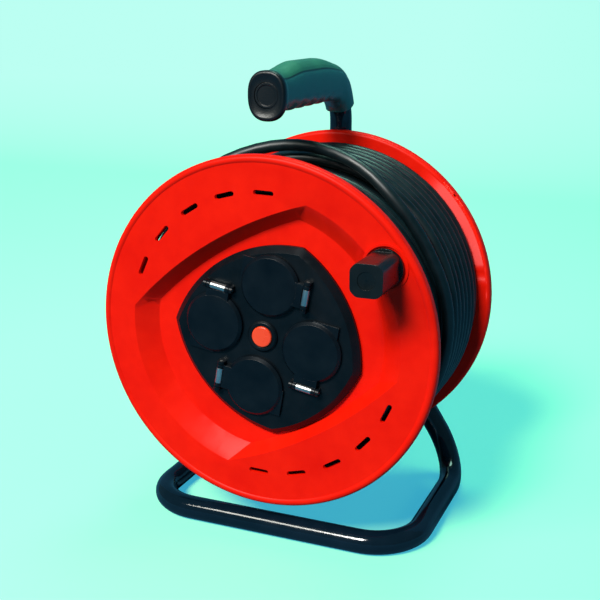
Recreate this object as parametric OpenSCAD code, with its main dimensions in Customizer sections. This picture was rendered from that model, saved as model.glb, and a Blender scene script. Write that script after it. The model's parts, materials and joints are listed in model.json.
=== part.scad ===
// Extension cord reel: a sprung-lid socket drum on a bent-tube stand.
// Origin: on the floor under the axle, midway between the knob's face and the hub's back.
// +X to the right, +Y from the socket face to the stand's legs, +Z up. Millimetres.
// Depths are measured backwards from the front flange's rim plane.

/* [Drum] */
// Diameter of both flanges
flange_d = 290; // [280:1:300]
// Depth from the front rim plane to the rear flange's inner face
flange_gap = 171; // [168:1:176]
// Wall of the flanges
flange_wall = 3.5; // [3:0.1:4]
// Radius of the rounded bead round each rim
bead_r = 3.5; // [3:0.1:4]
// Depth of the skirt behind each rim
skirt_depth = 8; // [7.5:0.1:8.5]
// How far the front flange's face lies behind its rim
face_sink = 1; // [0.6:0.1:1.4]
// Outer radius of the barrel that the cord winds on
barrel_r = 92; // [90:0.5:93]
// Wall of the barrel
barrel_wall = 3; // [2.5:0.1:3.5]

/* [Dish] */
// Radius of the dish at the flange's face
dish_r = 117; // [115:0.5:119]
// Depth of the dish's floor
dish_depth = 13; // [12.6:0.1:13.4]
// Width of the dish's sloping wall
dish_slope = 18; // [16:0.5:20]
// Radius of the dish's two shallow sides
side_r = 328; // [310:1:350]
// Distance from the axle to the middle of the upper shallow side
side_reach = 86; // [85:0.5:88]
// Width of the sloping wall on the upper shallow side
side_slope = 11; // [9:0.5:12]
// Distance from the axle to the middle of the lower shallow side
low_reach = 90; // [89.5:0.5:92]
// Angle of the upper shallow side
side_turn = 121.8; // [118:0.1:125]

/* [Vent slots] */
// Slots in each row
slot_count = 5; // [3:1:5]
// Length of a slot, end to end
slot_len = 17; // [12:0.5:19]
// Width of a slot
slot_w = 4; // [3:0.1:5]
// Radius of the row of slots
slot_pitch_r = 116; // [114:0.5:122]
// Angle between two slots
slot_step = 16.7; // [15:0.1:18]
// Gap between the slots and the stiffening rib behind them
slot_rib_gap = 2; // [1.5:0.1:3]
// Thickness of that rib
slot_rib_t = 2; // [1.6:0.1:2.6]

/* [Socket plate] */
// Radius of the plate's four curved sides
plate_side_r = 108; // [104:0.5:112]
// Distance from the axle to the upper left side
plate_reach_top = 69; // [68.6:0.1:69.6]
// Distance from the axle to the upper right side
plate_reach_right = 76.4; // [75.5:0.1:77.5]
// Distance from the axle to the lower left side
plate_reach_left = 74.2; // [73.5:0.1:75.5]
// Distance from the axle to the lower right side
plate_reach_low = 80.2; // [79.5:0.1:81]
// Depth of the plate's face
plate_face = 5; // [4.8:0.1:5.4]
// Wall of the plate
plate_wall = 2.5; // [2.2:0.1:2.8]
// Bevel round the plate's edge
plate_bevel = 5; // [3:0.1:5.5]

/* [Sockets] */
// Radius of the circle that the sockets lie on
socket_pitch_r = 43; // [42.5:0.1:44]
// Angle of the first socket
socket_turn = 80; // [78:0.5:82]
// Radius of a socket's well
well_r = 19.7; // [19.5:0.1:20]
// Depth of a well below the plate's face
well_depth = 17.5; // [17:0.1:18.5]
// Wall of a well
well_wall = 2; // [1.6:0.1:2.2]
// Thickness of the wells' floor
well_floor = 4; // [3:0.1:5]
// Distance between a socket's two pin holes, and between the plug's pins
pin_spacing = 19; // [18.9:0.1:19.1]
// Diameter of the plug's pins
pin_d = 4.8; // [4.7:0.05:4.85]
// Radius of a pin hole in a well's floor
pin_hole_r = 2.75; // [2.6:0.05:2.9]

/* [Lids] */
// Radius of a lid
lid_r = 25; // [24:0.1:25.5]
// Thickness of a lid
lid_t = 4.3; // [4:0.1:4.5]
// Width of the bevel round a lid
lid_bevel = 2.2; // [1.5:0.1:2.6]
// Distance from a lid's centre to its hinge pin
hinge_off = 31; // [30.5:0.1:31.5]
// Length of a whole hinge
hinge_len = 25.5; // [24.5:0.5:26.5]
// Length across the lid's own two knuckles
knuckle_len = 19.5; // [18:0.5:20]
// Radius of a knuckle
knuckle_r = 3.1; // [2.8:0.1:3.2]
// Radius of a hinge pin
hinge_pin_r = 1.25; // [1.1:0.05:1.4]
// Width of a lid's lift tab
tab_w = 22; // [18:0.5:23]
// How far outwards the lift tab is set from the lid's middle
tab_shift = 8; // [6:0.5:9]
// How far the lift tab reaches past the lid
tab_reach = 0.8; // [0.6:0.1:1.5]

/* [Reset button] */
// Radius of the button
button_r = 8.6; // [8:0.1:9]
// Depth of the button's face
button_face = 1.6; // [1.3:0.1:2]
// Length of the button's head
button_head = 9; // [8.5:0.1:10]
// Radius of the bezel round the button
bezel_r = 13; // [12.5:0.1:14]
// Radius of the cut-out's housing
cutout_r = 15; // [13:0.5:17]
// Length of the cut-out's housing
cutout_len = 26; // [20:1:34]

/* [Crank knob] */
// Distance from the rim's edge to the knob's spindle
knob_inset = 23; // [22:0.5:24]
// Angle of the knob
knob_turn = 33.3; // [32:0.1:35]
// Width of the knob across its flat sides
knob_w = 25; // [24:0.5:26]
// Radius of the knob's corners
knob_corner = 7; // [5:0.5:8]
// How far the knob's face stands out of the rim plane
knob_reach = 42; // [38:0.5:46]
// Radius of the knob's spindle
spindle_r = 4; // [3.5:0.1:4.5]
// Radius of the round boss under the knob
boss_r = 18.5; // [18.2:0.1:19]

/* [Axle] */
// Height of the axle above the floor
axle_h = 182; // [180:1:190]
// Radius of the axle
axle_r = 8; // [7.5:0.1:8.5]
// Depth at which the axle starts, inside the barrel
axle_start = 80; // [76:1:84]
// Wall of the two bearing bushes
bush_wall = 4; // [3:0.1:4.5]
// Length of a bush
bush_len = 16; // [12:1:20]

/* [Stand] */
// Diameter of the frame tube
tube_d = 20; // [19:0.5:21]
// Wall of the frame tube
tube_wall = 1.5; // [1.2:0.1:2]
// Depth of the base loop's front bar
bar_depth = 19; // [16:0.5:24]
// Half the width of the base loop, between tube centres
base_half = 120; // [114:1:128]
// Bend radius of the two front corners
corner_bend = 42; // [36:1:50]
// Bend radius of the two back corners
back_bend = 45; // [38:1:50]
// Gap between the rear flange and the tube of the legs
leg_gap = 6.5; // [6.5:0.1:9]
// Radius of the hub block that joins the tubes
hub_r = 42; // [38:1:46]
// Thickness of the hub block
hub_t = 24; // [23:0.5:26]

/* [Handle] */
// Sideways place of the handle tube
handle_x = -5; // [-8:0.5:0]
// Height of the handle tube's forward run above the axle
handle_rise = 187; // [186:0.5:190]
// Bend radius of the handle tube
handle_bend = 36; // [32:1:40]
// Depth of the grip's front face
grip_front = 25; // [22:0.5:30]
// Width of the grip at its front flange
grip_stop_w = 32; // [30:0.5:36]
// Width of the grip's body
grip_w = 29; // [27:0.5:30]
// Height of the grip's crown above the tube's centre
grip_crown = 24; // [21:0.5:26]
// Finger hollows under the grip
finger_count = 5; // [3:1:5]
// Depth of a finger hollow
finger_depth = 2; // [1:0.1:2.4]

/* [Cord] */
// Diameter of the rubber cord
cord_d = 10; // [9:0.1:10]
// Diameter of the plug's face
plug_d = 36; // [34:0.5:37]
// Length of the plug's body
plug_len = 40; // [36:1:44]
// Length of the plug's strain relief
relief_len = 27; // [22:1:32]
// Length of the plug's pins
pin_len = 19; // [18.5:0.1:19.5]

/* [Hidden] */
$fn = 96;

// Colours
BLACK = [0.03, 0.06, 0.07];
RED = [0.93, 0.13, 0.04];
STEEL = [0.72, 0.74, 0.75];
BRASS = [0.80, 0.63, 0.28];
BONE = [0.85, 0.84, 0.78];

// Overcut of holes, and the clearances
eps = 1;
run_fit = 0.05;
loose_fit = 0.3;
lid_gap = 0.3;

tube_r = tube_d / 2;
flange_r = flange_d / 2;
rear_back = flange_gap + flange_wall;
leg_depth = rear_back + leg_gap + tube_r;
hub_lip = 0.9;
hub_front = leg_depth - tube_r - hub_lip;
hub_back = hub_front + hub_t;
rim_y = -(hub_back - knob_reach) / 2;
dish_back = dish_depth + flange_wall;
barrel_in = barrel_r - barrel_wall;
knob_pitch_r = flange_r - knob_inset;

// Rear flange
bearing_front = axle_start + 9;
bearing_wall = 4;
bearing_r = axle_r + bush_wall + bearing_wall;
washer_t = 1.6;
clip_t = 1.4;
side_play = 0.25;
bearing_back = hub_front - washer_t - 2 * side_play;
axle_stub_r = axle_r - 2;
nut_h = 7.5;
nut_seat = hub_back - nut_h - 1.5;
groove_depth = 1.1;

// Tie bolts that clamp the flanges on the barrel
tie_count = 4;
tie_pitch_r = barrel_in - 8.5;
tie_turn = 60;
tie_r = 2.5;
tie_head_r = 4.5;
tie_head_h = 3.5;
tie_boss_r = 6;
tie_boss_len = 14;
// Inside of the round rib that stiffens the front flange behind its slots
slot_rib_r = slot_pitch_r + slot_w / 2 + slot_rib_gap;

// Socket plate, its posts and its screws
plate_hole_r = 66.5;
plate_gap = 1.2;
low_slope = low_reach - plate_reach_low - plate_gap;
// Turn and reach of the plate's four sides, and the turns of its corner screws
plate_sides = [
  [120.3, plate_reach_top], [31.8, plate_reach_right],
  [221.8, plate_reach_left], [310.4, plate_reach_low]
];
corner_turns = [70, 177, 277, 343];
post_r = 4;
post_pitch_r = 60;
screw_r = 1.6;
screw_head_r = 3.4;
screw_head_h = 2.2;
plate_screw_pitch_r = 71.5;
plate_back = plate_face + plate_wall;
well_bottom = plate_face + well_depth;
carrier_back = well_bottom + well_floor;
carrier_r = post_pitch_r + 2 * post_r;
screw_bite = 4;

// Lids
pivot_depth = plate_face - knuckle_r - lid_gap;
lid_back = plate_face - lid_gap;
lid_face = lid_back - lid_t;
knuckle_gap = 0.5;
spigot_r = well_r - 0.9;
spigot_t = 1.6;
spigot_len = 3.5;

// Contacts
strip_t = 1.2;
contact_len = 13;
contact_wall = 0.9;
contact_r = pin_d / 2 + 0.05;
busbar_w = 4;
clip_w = 6;
clip_reach = well_r - strip_t - 0.4;

// Reset button
button_travel = 2.5;
stem_r = 3;
stem_len = 20;
button_gap = 0.4;
neck_r = 8;

// Knob
knob_base = 0.8;
knob_head_r = 6.4;
knob_head_h = 3;
cap_t = 2.4;
collar_r = boss_r - 2;
pocket_depth = 1.8;
boss_depth = 13.5;

// Wound cord: core, then two layers of turns
cord_r = cord_d / 2;
ring_step = 15;
core_r = barrel_r + 21.3;
core_front = dish_back + 0.5;
// The winding's straight pieces dip 1 mm towards the core between their ends
core_gap = 1.3;
layer_1 = core_r + cord_r + core_gap;
layer_2 = layer_1 + cord_d + 0.8;
lay_start = 216;
lay_end = 7746;
lap = 360;
over_top = 7560;
feed_bend = 45;
feed_turn = 75;
plug_depth = 48;
plug_turn = 190;
plug_pitch_r = 136;
sides = 6;

// Stations of the winding: [angle, depth]
depth_table = [
  [lay_start, 22], [lay_start + lap, 33], [4176, 142.5], [4536, 153.2], [4896, 164.7], [5076, 165.2],
  [5436, 153], [5796, 142], [6156, 129.5], [6516, 118.5], [6876, 107], [7236, 96.5],
  [over_top - 10, 86], [over_top + 11, 82], [over_top + 32, 74], [over_top + 51, 68],
  [over_top + 62, 72],
  [over_top + 78, 79], [over_top + 92, 86], [over_top + 104, 84], [over_top + 120, 68], [over_top + 142, 52],
  [over_top + 165, plug_depth], [lay_end, plug_depth], [lay_end + 5, plug_depth]
];
// Stations of the winding: [angle, radius]
radius_table = [
  [lay_start, layer_1], [4896, layer_1], [5076, layer_2], [over_top + 22, layer_2],
  [over_top + 78, layer_2 + 11.4], [over_top + 112, layer_2 + 12.4], [over_top + 150, layer_2 + 8],
  [over_top + 180, plug_pitch_r + 0.3], [lay_end + 5, plug_pitch_r]
];

// ---------- Shared shapes ----------

// The drum's own frame: X right, Y up, Z out of the socket face, origin at the rim plane
module on_drum() translate([0, rim_y, axle_h]) rotate([90, 0, 0]) children();

// A disc, a cone and a ring between two depths, in the drum's frame
module disc(r, d0, d1) translate([0, 0, -d1]) cylinder(r = r, h = d1 - d0);
module cone(r0, r1, d0, d1) translate([0, 0, -d1]) cylinder(r1 = r1, r2 = r0, h = d1 - d0);
module ring(r_in, r_out, d0, d1) difference() {
  disc(r_out, d0, d1);
  disc(r_in, d0 - eps, d1 + eps);
}

// A block between two depths, centred on X and Y
module block(w, h, d0, d1) translate([-w / 2, -h / 2, -d1]) cube([w, h, d1 - d0]);

// A round bar from one point to another
module bar(p, q, r) {
  v = q - p;
  length = norm(v);
  translate(p)
    rotate([0, acos(v.z / length), atan2(v.y, v.x)])
      cylinder(r = r, h = length);
}

// Stretches of bent tube, each carrying on from the end of the one before.
// The tube heads along its own Z, and bends towards its own -X.
module straight(length, r) {
  cylinder(r = r, h = length);
  translate([0, 0, length]) children();
}
module bend(radius, r) {
  translate([-radius, 0, 0]) rotate([90, 0, 0])
    rotate_extrude(angle = 90) translate([radius, 0]) circle(r);
  translate([-radius, 0, radius]) rotate([0, -90, 0]) children();
}

// Places a round shape at an angle and a radius, without turning it
module polar(a, r) translate([r * cos(a), r * sin(a), 0]) children();

module at_socket(k) rotate(socket_turn + 90 * k) translate([socket_pitch_r, 0, 0]) children();
module at_post(k) rotate(socket_turn + 45 + 90 * k) translate([post_pitch_r, 0, 0]) children();
module at_corner(k) polar(corner_turns[k], plate_screw_pitch_r) children();
module at_tie(k) rotate(tie_turn + 360 / tie_count * k) translate([tie_pitch_r, 0, 0]) children();
module at_knob() rotate(knob_turn) translate([knob_pitch_r, 0, 0]) rotate(-knob_turn) children();
module at_pins() for (s = [-1, 1]) translate([s * pin_spacing / 2, 0, 0]) children();

// ---------- Stand ----------

// Height above the axle at which the two legs' lines would cross. At the drawn sizes it gives
// the lean a short sine and cosine, 0.5376 and 0.8432, so that bends and straights meet exactly.
apex_rise = 16.214286;
leg_apex = axle_h + apex_rise;
leg_lean = atan2(base_half, leg_apex - tube_r);
// Where the legs end below that height
leg_end = 38;
leg_grip = 34;
handle_end = 22;

function row_y(depth) = rim_y + depth;

// One tube from the right leg's end, round the base loop, to the left leg's end
module base_line(r, overrun) {
  leg = base_half / sin(leg_lean) - leg_end - back_bend + overrun;
  rail = leg_depth - bar_depth - corner_bend - back_bend;
  roll = 90 - leg_lean;
  reach = leg_end - overrun;
  translate([reach * sin(leg_lean), row_y(leg_depth), leg_apex - reach * cos(leg_lean)])
    rotate([0, 180 - leg_lean, 0]) rotate(90)
      straight(leg, r) bend(back_bend, r) rotate(roll)
      straight(rail, r) bend(corner_bend, r)
      straight(2 * (base_half - corner_bend), r) bend(corner_bend, r)
      straight(rail, r) rotate(-roll) bend(back_bend, r)
      straight(leg, r);
}

module base_tube() color(BLACK) difference() {
  base_line(tube_r, 0);
  base_line(tube_r - tube_wall, eps);
}

handle_top = axle_h + handle_rise;
tube_front = grip_front + 14;

// From the hub, up behind the drum and forward over it
module handle_line(r, overrun)
  translate([handle_x, row_y(leg_depth), axle_h + handle_end - overrun]) rotate(90)
    straight(handle_rise - handle_bend - handle_end + overrun, r) bend(handle_bend, r)
    straight(leg_depth - handle_bend - tube_front + overrun, r);

module handle_tube() color(BLACK) difference() {
  handle_line(tube_r, 0);
  handle_line(tube_r - tube_wall, eps);
}

// Hub: two halves that clamp the ends of the three tubes and hold the axle
hub_chamfer = 3;
collar_len = 14;
collar_wall = 4;
nut_r = 9.5;

// Bars on the lines of the three tubes, from their ends to past the clamped length
module tube_sockets(r, past) {
  function on_leg(s, t) = [s * t * sin(leg_lean), leg_apex - axle_h - t * cos(leg_lean), -leg_depth];
  for (s = [-1, 1]) bar(on_leg(s, leg_end), on_leg(s, leg_end + leg_grip + past), r);
  bar([handle_x, handle_end, -leg_depth], [handle_x, hub_r + collar_len + past, -leg_depth], r);
}

module hub_half(d0, d1) on_drum() difference() {
  intersection() {
    union() {
      disc(hub_r, hub_front, hub_back - hub_chamfer);
      cone(hub_r, hub_r - hub_chamfer, hub_back - hub_chamfer, hub_back);
      tube_sockets(tube_r + collar_wall, 0);
    }
    disc(hub_r + 2 * collar_len, d0, d1);
  }
  tube_sockets(tube_r, eps);
  disc(axle_stub_r, hub_front - eps, hub_back + eps);
  disc(nut_r + 1, nut_seat, hub_back + eps);
  at_hub_screws() {
    disc(hub_screw_r, hub_front + 3, hub_back);
    disc(hub_screw_head_r, hub_back - hub_screw_head_h, hub_back + eps);
  }
}

module frame_hub() color(BLACK) hub_half(hub_front, leg_depth);
module hub_cover() color(BLACK) hub_half(leg_depth, hub_back);

// Three screws between the tubes clamp the halves together
hub_screw_r = 2.5;
hub_screw_head_r = 5;
hub_screw_head_h = 3;
hub_screw_pitch_r = 30;

module at_hub_screws() for (a = [25, 155, 270]) rotate(a) translate([hub_screw_pitch_r, 0, 0]) children();

module hub_screws() color(STEEL) on_drum() at_hub_screws() difference() {
  union() {
    disc(hub_screw_r, hub_front + 4, hub_back - hub_screw_head_h);
    disc(hub_screw_head_r, hub_back - hub_screw_head_h, hub_back - 0.5);
  }
  block(1.2, 2 * hub_screw_head_r - 3, hub_back - 2, hub_back + eps);
  block(2 * hub_screw_head_r - 3, 1.2, hub_back - 2, hub_back + eps);
}

// ---------- Grip ----------

// Stations along the handle tube: a forward run, then the start of the bend
grip_sides = 20;
grip_run = leg_depth - handle_bend - grip_front;
grip_round = 66;
run_steps = 26;
bend_steps = 12;
grip_gap = 0.15;
grip_bore_r = (tube_r + grip_gap) / cos(180 / grip_sides);
grip_lean = 0.82;
// Length of the hand stop, of its rounded edge and of its fall to the body
stop_len = 8;
stop_edge = 1.5;
stop_rise = 3;
stop_fall = 4;
// How far the stop and the body's start lie below the crown, and the stop's reach underneath
stop_dip = 5;
body_dip = 5.5;
stop_drop = 4;
// Wall under the tube, and at the grip's thin end
palm_wall = 4.5;
end_wall = 2.5;
// Plain lengths before and after the finger hollows
finger_start = 8;
finger_end = 12;

// Blend from a to b as s passes from s0 to s1
function blend(a, b, s, s0, s1) =
  let (u = min(1, max(0, (s - s0) / (s1 - s0)))) a + (b - a) * u * u * (3 - 2 * u);

// Half width, height above and depth below the tube's centre, at distance s from the front
function grip_half(s) =
  s < stop_len + stop_fall
    ? blend(grip_stop_w / 2, grip_w / 2, s, stop_len - stop_rise, stop_len + stop_fall)
    : blend(grip_w / 2, tube_r + end_wall, s, grip_run + finger_start, grip_total);
function grip_up(s) =
  s < stop_len + stop_fall
    ? grip_crown - blend(stop_dip, body_dip, s, stop_len - stop_rise, stop_len + stop_fall)
    : s < grip_run * 0.4
      ? blend(grip_crown - body_dip, grip_crown, s, stop_len + stop_fall, grip_run * 0.4)
      : blend(grip_crown, tube_r + end_wall, s, grip_run * 0.7, grip_total);
function fingers(s) =
  let (u = (s - stop_len - finger_start) / (grip_run - stop_len - finger_start - finger_end))
    u < 0 || u > 1 ? 0 : finger_depth * (1 - cos(360 * finger_count * u)) / 2;
function grip_down(s) =
  s < stop_len + stop_fall
    ? blend(grip_stop_w / 2 + stop_drop, tube_r + palm_wall, s, stop_len - stop_rise, stop_len + stop_fall)
    : blend(tube_r + palm_wall, tube_r + end_wall, s, grip_run, grip_total) - fingers(s);
grip_total = grip_run + handle_bend * grip_round * PI / 180;

// Rounded-square ring of the grip at distance s
function power(v, p) = sign(v) * pow(abs(v), p);
function grip_ring(s, bore) = [
  for (i = [0 : grip_sides - 1])
    let (a = 360 * i / grip_sides, c = cos(a), t = sin(a))
      bore
        ? [grip_bore_r * c, grip_bore_r * t]
        : [grip_half(s) * power(c, grip_lean), (t > 0 ? grip_up(s) : grip_down(s)) * power(t, grip_lean)]
];
// Place a ring's points: straight run first, then round the bend
function grip_place(p, s) =
  let (turn = max(0, s - grip_run) / handle_bend * 180 / PI, out = handle_bend + p.y)
    s <= grip_run
      ? [handle_x + p.x, row_y(grip_front + s), handle_top + p.y]
      : [handle_x + p.x, row_y(grip_front + grip_run) + out * sin(turn),
         handle_top - handle_bend + out * cos(turn)];

grip_stations = concat(
  [0, stop_edge, stop_len - stop_rise, stop_len, stop_len + stop_fall],
  [for (i = [1 : run_steps]) let (a = stop_len + stop_fall) a + (grip_run - a) * i / run_steps],
  [for (i = [1 : bend_steps]) grip_run + (grip_total - grip_run) * i / bend_steps]
);

module handle_grip() color(BLACK) {
  n = grip_sides;
  m = len(grip_stations);
  // The front edge is a little smaller, so that it is rounded
  skin = [for (s = grip_stations) for (p = grip_ring(s, false)) grip_place(s == 0 ? p * 0.93 : p, s)];
  hole = [for (s = grip_stations) for (p = grip_ring(s, true)) grip_place(p, s)];
  side = [
    for (j = [0 : m - 2]) for (i = [0 : n - 1])
      let (a = j * n + i, b = j * n + (i + 1) % n)
        each [[a, a + n, b], [b, a + n, b + n]]
  ];
  bore = [for (f = side) [f[0] + m * n, f[2] + m * n, f[1] + m * n]];
  front = [
    for (i = [0 : n - 1])
      let (a = i, b = (i + 1) % n)
        each [[a, b, a + m * n], [b, b + m * n, a + m * n]]
  ];
  back = [for (f = front) [for (v = [0, 2, 1]) f[v] + (m - 1) * n]];
  polyhedron(concat(skin, hole), concat(side, bore, front, back));
}

// Domed plug that closes the grip's open front
module grip_plug() color(BLACK) difference() {
  bar([handle_x, row_y(grip_front + 1.2), handle_top], [handle_x, row_y(tube_front), handle_top],
      tube_r - 0.05);
  bar([handle_x, row_y(grip_front), handle_top], [handle_x, row_y(grip_front + 2), handle_top],
      tube_r - 2);
}

// ---------- Axle ----------

clip_front = bearing_front - side_play - washer_t - clip_t;

module axle() color(STEEL) on_drum() difference() {
  union() {
    cone(axle_r - 1, axle_r, axle_start, axle_start + 1);
    disc(axle_r, axle_start + 1, hub_front);
    disc(axle_stub_r, hub_front, hub_back - 1);
  }
  ring(axle_r - groove_depth, axle_r + eps, clip_front, clip_front + clip_t);
}

module axle_nut() color(STEEL) on_drum() difference() {
  translate([0, 0, -nut_seat - nut_h]) cylinder(r = nut_r, h = nut_h, $fn = 6);
  disc(axle_stub_r, nut_seat - eps, hub_back + eps);
}

module thrust_washer() color(STEEL) on_drum()
  ring(axle_r + run_fit, bearing_r, hub_front - washer_t - 0.05, hub_front - 0.05);

module axle_washer() color(STEEL) on_drum()
  ring(axle_r + run_fit, bearing_r - 1, clip_front + clip_t, clip_front + clip_t + washer_t);

// Open spring ring in the axle's groove
module axle_clip() color(STEEL) on_drum() difference() {
  ring(axle_r - groove_depth, axle_r + 3, clip_front, clip_front + clip_t);
  translate([0, -axle_r - 2, 0]) block(7, 8, clip_front - eps, clip_front + clip_t + eps);
}

// ---------- Flanges and barrel ----------

module rim(depth) {
  rotate_extrude() {
    translate([flange_r - bead_r, -depth - bead_r]) circle(bead_r);
    translate([flange_r - flange_wall * 0.8, -depth - skirt_depth])
      square([flange_wall * 0.8, skirt_depth - bead_r]);
  }
}

// Sloping cup of the dish: one round wall cut by two shallow ones
module dish(grow, d0, d1) {
  function slope_r(r, slope, d) = r - slope * d / dish_depth + grow;
  module side(turn, reach, slope) polar(turn, reach - side_r)
    cone(slope_r(side_r, slope, d0), slope_r(side_r, slope, d1), d0, d1);
  intersection() {
    cone(slope_r(dish_r, dish_slope, d0), slope_r(dish_r, dish_slope, d1), d0, d1);
    side(side_turn, side_reach, side_slope);
    side(side_turn + 180, low_reach, low_slope);
  }
}

// A slot with round ends
module slot() {
  straight = slot_len - slot_w;
  slot_back = face_sink + flange_wall + eps;
  block(slot_w, straight, -eps, slot_back);
  for (s = [-1, 1]) translate([0, s * straight / 2, 0]) disc(slot_w / 2, -eps, slot_back);
}

module slots() {
  for (half = [0, 180], i = [0 : slot_count - 1])
    rotate(side_turn + half + slot_step * (i - (slot_count - 1) / 2))
      translate([slot_pitch_r, 0, 0])
        slot();
}

module front_flange() color(RED) on_drum() difference() {
  union() {
    difference() {
      union() {
        rim(0);
        disc(flange_r - bead_r, face_sink, face_sink + flange_wall);
        dish(flange_wall, face_sink, dish_back);
        ring(slot_rib_r, slot_rib_r + slot_rib_t, face_sink + 1, dish_back - 0.5);
      }
      dish(0, 0, dish_depth);
      disc(plate_hole_r, 0, dish_back + eps);
    }
    at_knob() disc(boss_r, 0, boss_depth);
    for (k = [0 : tie_count - 1]) at_tie(k) disc(tie_boss_r, dish_back - 1, dish_back + tie_boss_len);
  }
  slots();
  at_knob() disc(collar_r, -eps, pocket_depth);
  at_knob() disc(spindle_r, 0, boss_depth - 2);
  for (k = [0 : tie_count - 1]) at_tie(k) disc(tie_r, dish_back + 2, dish_back + tie_boss_len + eps);
  for (k = [0 : 3]) at_corner(k) disc(screw_r, dish_depth - eps, dish_back + eps);
}

rib_count = 12;
rib_t = 2.5;

module rear_flange() color(RED) on_drum() difference() {
  union() {
    rim(flange_gap);
    disc(flange_r - bead_r, flange_gap, rear_back);
    disc(bearing_r, bearing_front, bearing_back);
    ring(bearing_r + 14, bearing_r + 14 + rib_t, rear_back - 0.5, rear_back + 3);
    for (k = [0 : rib_count - 1])
      rotate(360 / rib_count * (k + 0.5))
        translate([(bearing_r + flange_r) / 2 - 3, 0, 0])
          block(flange_r - bearing_r - 4, rib_t, rear_back - 0.5, rear_back + 3);
  }
  disc(axle_r + 0.6, bearing_front - eps, bearing_back + eps);
  disc(axle_r + bush_wall, bearing_front - eps, bearing_front + bush_len);
  disc(axle_r + bush_wall, bearing_back - bush_len, bearing_back + eps);
  for (k = [0 : tie_count - 1]) at_tie(k) disc(tie_r, flange_gap - eps, rear_back + eps);
}

gland_turn = -78;
gland_depth = 41;
gland_r = 8;
// The gland and the cord's tail stop just inside the barrel's round surface
gland_out = barrel_r - 0.4;

module gland_line(r, a, b)
  rotate(gland_turn)
    translate([a, 0, -gland_depth])
      rotate([0, 90, 0])
        cylinder(r = r, h = b - a);

module drum_barrel() color(RED) on_drum() difference() {
  ring(barrel_in, barrel_r, face_sink + flange_wall, flange_gap);
  dish(flange_wall, face_sink, dish_back);
  gland_line(gland_r - 1.5, barrel_in - 5, barrel_r + eps);
}

module tie_bolts() color(STEEL) on_drum() for (k = [0 : tie_count - 1]) at_tie(k) {
  disc(tie_r, dish_back + 3, rear_back);
  difference() {
    disc(tie_head_r, rear_back, rear_back + tie_head_h);
    block(1.2, 2 * tie_head_r - 3, rear_back + 1.5, rear_back + tie_head_h + eps);
    block(2 * tie_head_r - 3, 1.2, rear_back + 1.5, rear_back + tie_head_h + eps);
  }
}

module bearing_bushes() color(BRASS) on_drum() {
  ring(axle_r + run_fit, axle_r + bush_wall, bearing_front, bearing_front + bush_len);
  ring(axle_r + run_fit, axle_r + bush_wall, bearing_back - bush_len, bearing_back);
}

// ---------- Socket plate and what it carries ----------

// Four-sided outline with curved sides, tapering from inset in0 to inset in1
module plate_outline(in0, in1, d0, d1)
  intersection_for (side = plate_sides)
    polar(side[0], side[1] - plate_side_r)
      cone(plate_side_r - in0, plate_side_r - in1, d0, d1);

module hinge_lugs() {
  lug_in = knuckle_len / 2 + knuckle_gap;
  lug_t = hinge_len / 2 - lug_in;
  for (s = [-1, 1])
    translate([s * (lug_in + lug_t / 2), -hinge_off, -pivot_depth]) {
      rotate([0, 90, 0]) cylinder(r = knuckle_r, h = lug_t, center = true);
      translate([-lug_t / 2, -knuckle_r, pivot_depth - plate_back + 0.5])
        cube([lug_t, 2 * knuckle_r, plate_back - 0.5 - pivot_depth]);
    }
}

module hinge_line(r, length, k)
  at_socket(k) translate([0, -hinge_off, -pivot_depth]) rotate([0, 90, 0])
    cylinder(r = r, h = length, center = true);

// Shell with its posts, and the holes through it
module plate_shell() difference() {
  inset = plate_bevel + plate_wall;
  union() {
    difference() {
      union() {
        plate_outline(plate_bevel, 0, plate_face, plate_face + plate_bevel);
        plate_outline(0, 0, plate_face + plate_bevel, dish_depth);
      }
      plate_outline(inset, inset, plate_back, dish_depth + eps);
    }
    for (k = [0 : 3]) {
      polar(socket_turn + 45 + 90 * k, post_pitch_r) disc(post_r, plate_back - 0.5, well_bottom);
      at_corner(k) disc(post_r, plate_back - 0.5, dish_depth);
    }
  }
  for (k = [0 : 3]) {
    polar(socket_turn + 90 * k, socket_pitch_r) disc(well_r, plate_face - eps, dish_depth + eps);
    polar(socket_turn + 45 + 90 * k, post_pitch_r)
      disc(screw_r, well_bottom - screw_bite - 2, well_bottom + eps);
    at_corner(k) disc(screw_r, dish_depth - screw_bite + 0.5, dish_depth + eps);
  }
  disc(bezel_r - 3, plate_face - eps, plate_back + eps);
}

module socket_plate() color(BLACK) on_drum() difference() {
  union() {
    plate_shell();
    for (k = [0 : 3]) at_socket(k) hinge_lugs();
  }
  for (k = [0 : 3]) hinge_line(hinge_pin_r, hinge_len + 2, k);
}

module small_screw(seat, bite) {
  disc(screw_r, seat - bite, seat);
  difference() {
    disc(screw_head_r, seat, seat + screw_head_h);
    block(1, 2 * screw_head_r - 2, seat + 1, seat + screw_head_h + eps);
  }
}

module plate_screws() color(STEEL) on_drum()
  for (k = [0 : 3]) at_corner(k) small_screw(dish_back, flange_wall + screw_bite - 1);

module carrier_screws() color(STEEL) on_drum()
  for (k = [0 : 3]) at_post(k) small_screw(carrier_back, well_floor + screw_bite);

module socket_carrier() color(BONE) on_drum() difference() {
  union() {
    disc(carrier_r, well_bottom, carrier_back);
    for (k = [0 : 3]) at_socket(k) disc(well_r + well_wall, plate_back, well_bottom + 0.5);
  }
  for (k = [0 : 3]) {
    at_socket(k) disc(well_r, plate_back - eps, well_bottom);
    at_socket(k) at_pins() disc(pin_hole_r, well_bottom - eps, carrier_back + eps);
    for (s = [-1, 1])
      at_socket(k)
        translate([0, s * (clip_reach + strip_t / 2), 0])
          block(clip_w, strip_t, well_bottom - eps, carrier_back + eps);
    at_post(k) disc(screw_r, well_bottom - eps, carrier_back + eps);
  }
  disc(neck_r, well_bottom - eps, carrier_back + eps);
}

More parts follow.
